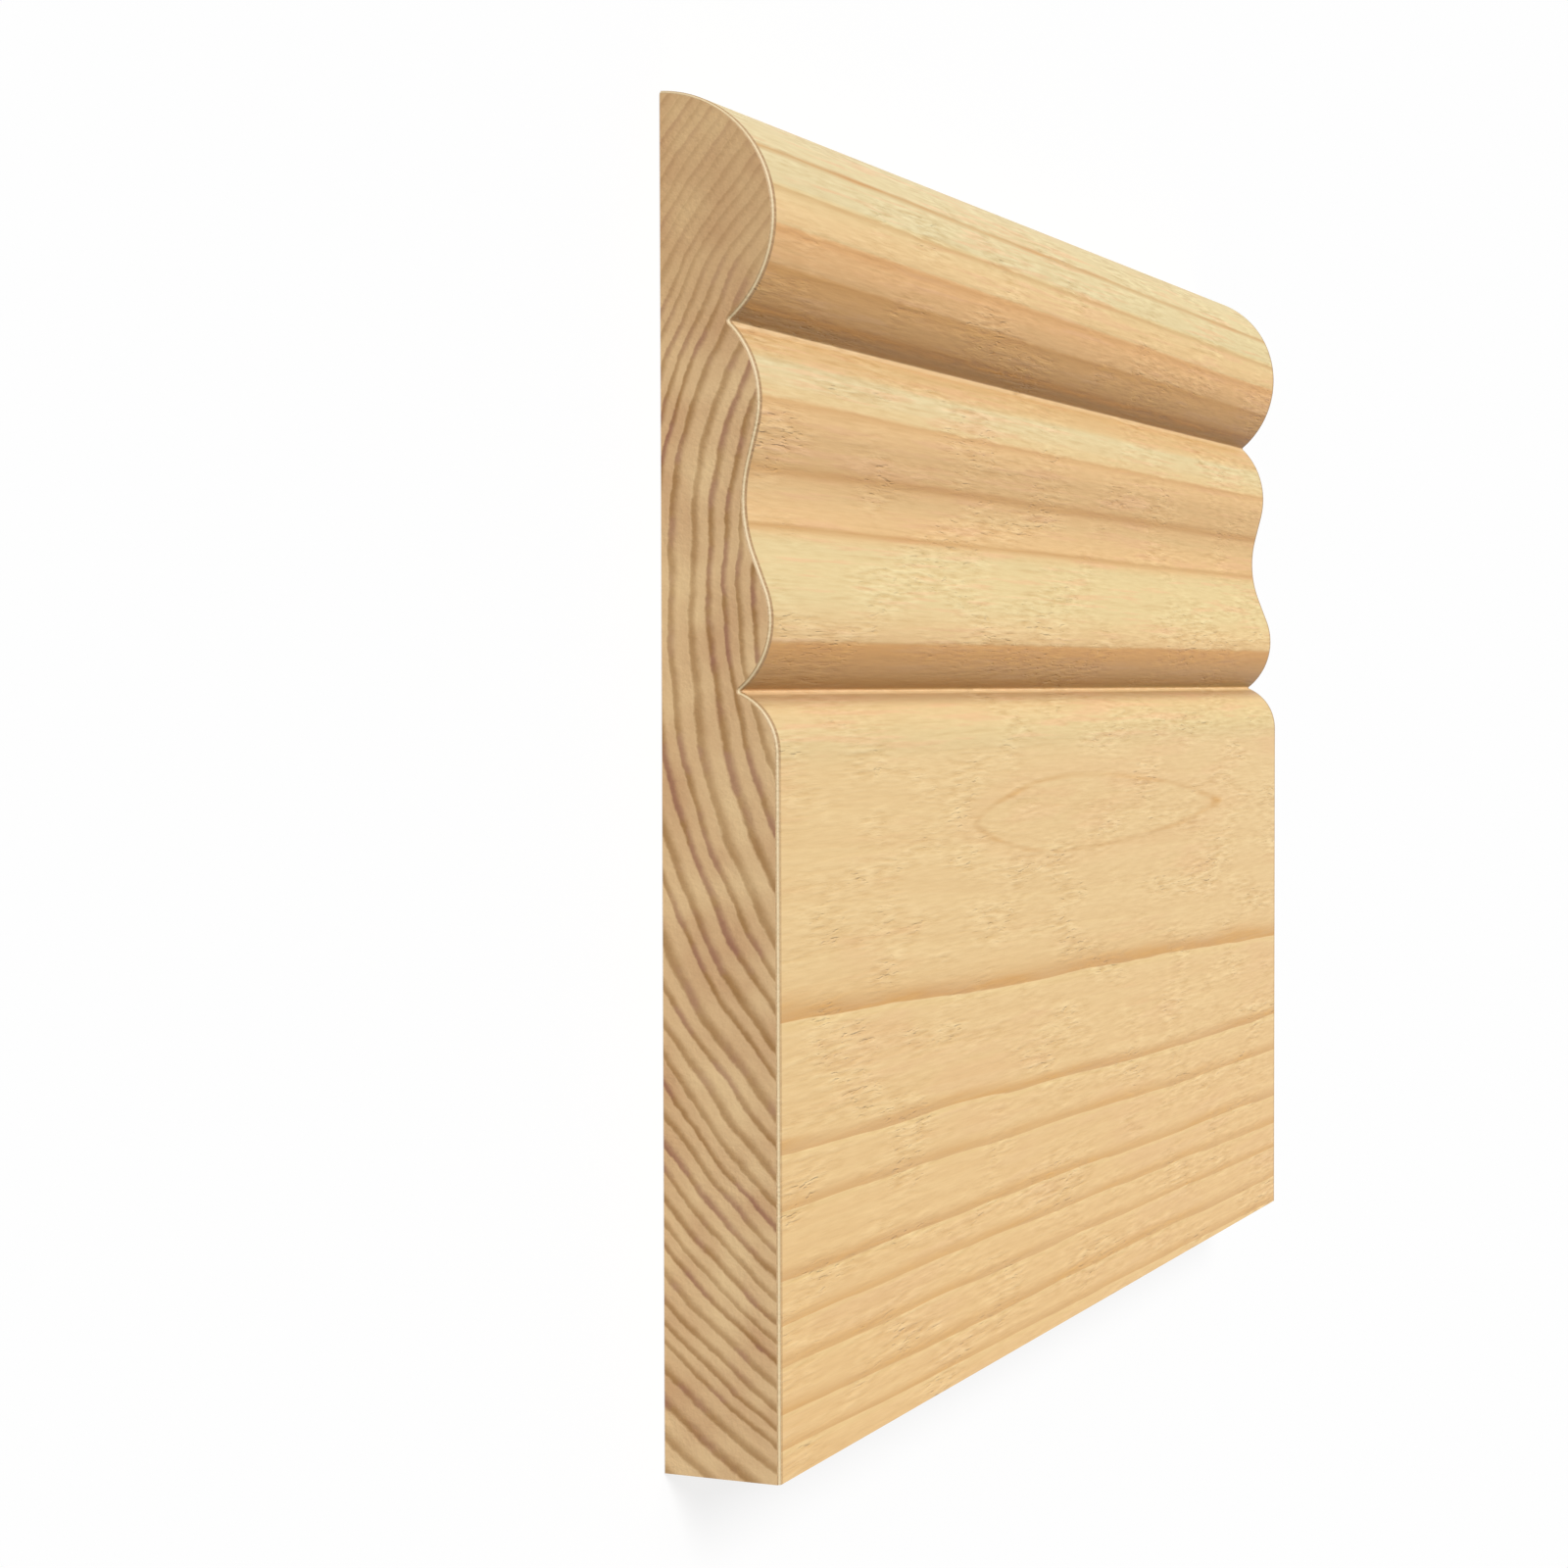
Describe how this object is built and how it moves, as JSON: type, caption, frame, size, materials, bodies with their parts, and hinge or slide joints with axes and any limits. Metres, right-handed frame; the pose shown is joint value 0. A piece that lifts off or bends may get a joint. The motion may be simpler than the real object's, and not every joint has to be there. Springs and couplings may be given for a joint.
{
  "type": "skirting board length",
  "caption": "Short length of moulded softwood skirting board: flat back and face, with a torus, two beads, a hollow and an ovolo worked along its top.",
  "frame": {"origin": "middle of the flat back face, which the board lies on", "axes": "+X along the board, +Y from the floor edge to the moulded top edge, +Z out of the moulded face"},
  "size_m": [0.3, 0.219, 0.02],
  "materials": {
    "pine": "planed and sanded bare softwood, unfinished"
  },
  "bodies": {
    "root": {"skirting_board": "pine"}
  },
  "joints": []
}
